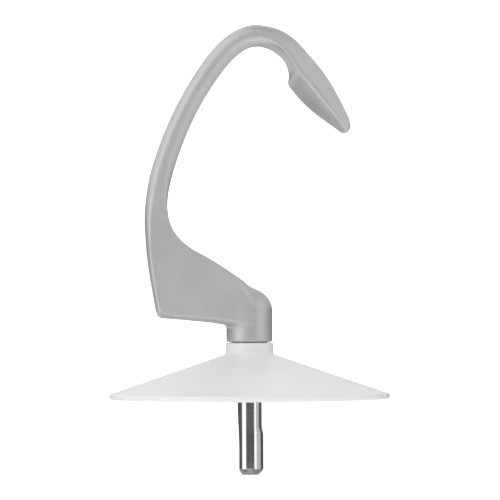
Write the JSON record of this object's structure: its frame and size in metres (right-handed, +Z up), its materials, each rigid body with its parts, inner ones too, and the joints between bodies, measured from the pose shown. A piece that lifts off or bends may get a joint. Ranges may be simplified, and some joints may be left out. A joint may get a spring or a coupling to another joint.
{
  "type": "dough hook",
  "caption": "Kneading hook of a compact stand mixer: a cast C-shaped hook with a ploughshare tip on a steel drive shaft, and a shallow conical dough deflector that turns on the hub.",
  "frame": {"origin": "centre of the drive shaft's free end face", "axes": "+Z up the shaft towards the hook, +X towards the side that the hook's tip is on, -Y the front"},
  "size_m": [0.116, 0.116, 0.1859],
  "materials": {
    "cast_aluminium": "fine-grained matt cast, silver grey",
    "polished_steel": "ground and polished",
    "white_plastic": "semi-gloss moulded",
    "washer_steel": "rolled, satin",
    "clip_steel": "spring steel, satin"
  },
  "bodies": {
    "hook": {"hook_casting": "cast_aluminium", "drive_shaft": "polished_steel", "retaining_clip": "clip_steel"},
    "deflector": {"dough_deflector": "white_plastic", "thrust_washer": "washer_steel"}
  },
  "joints": [
    {"name": "deflector_spin", "type": "hinge", "parent": "hook", "child": "deflector", "pos_m": [0, 0, 0.0505], "axis": [0, 0, 1], "continuous": true}
  ]
}
